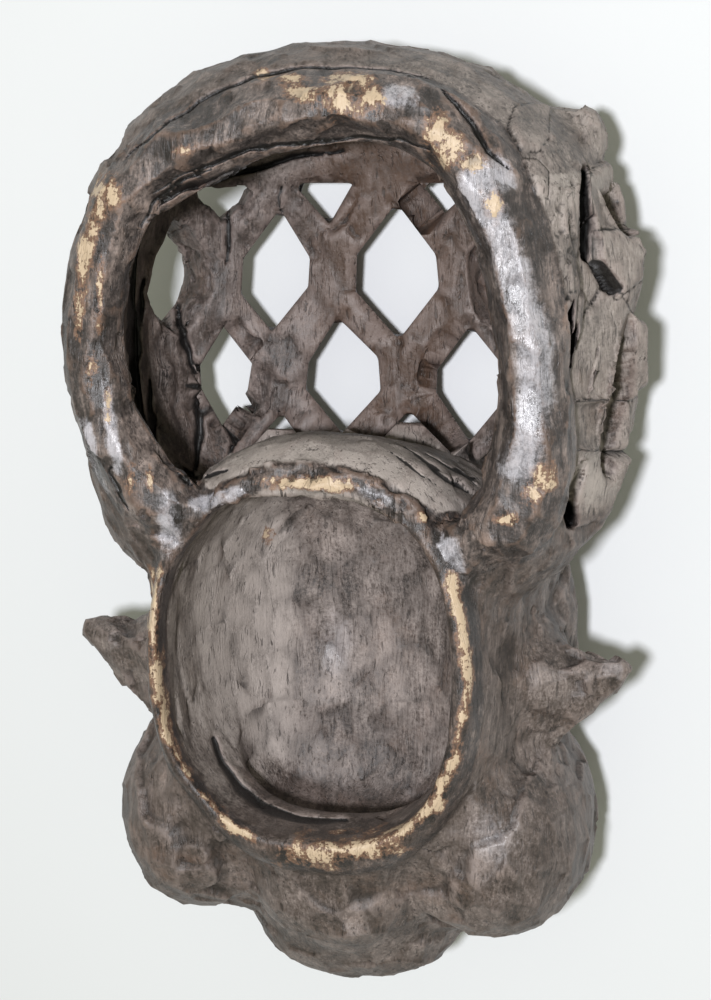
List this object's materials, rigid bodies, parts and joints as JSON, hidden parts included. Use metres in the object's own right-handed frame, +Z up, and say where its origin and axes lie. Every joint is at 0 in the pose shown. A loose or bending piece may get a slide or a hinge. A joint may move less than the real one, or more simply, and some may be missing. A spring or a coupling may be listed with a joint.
{
  "type": "helmet mask",
  "caption": "Carved wooden helmet mask with a bowl for the head, an openwork headdress edged by a thick arch, pointed ears and puffed cheeks, lying on its face.",
  "frame": {"origin": "on the floor plane under the middle of the mask's bounding box, with the mask lying on its face", "axes": "+Z up out of the hollow back, +Y towards the top of the headdress, +X to the right as the back is seen"},
  "size_m": [0.3895, 0.6448, 0.241],
  "materials": {
    "dark_wood": "worn, dusty dark hardwood with a rubbed sheen on the raised edges"
  },
  "bodies": {
    "root": {"mask": "dark_wood"}
  },
  "joints": []
}
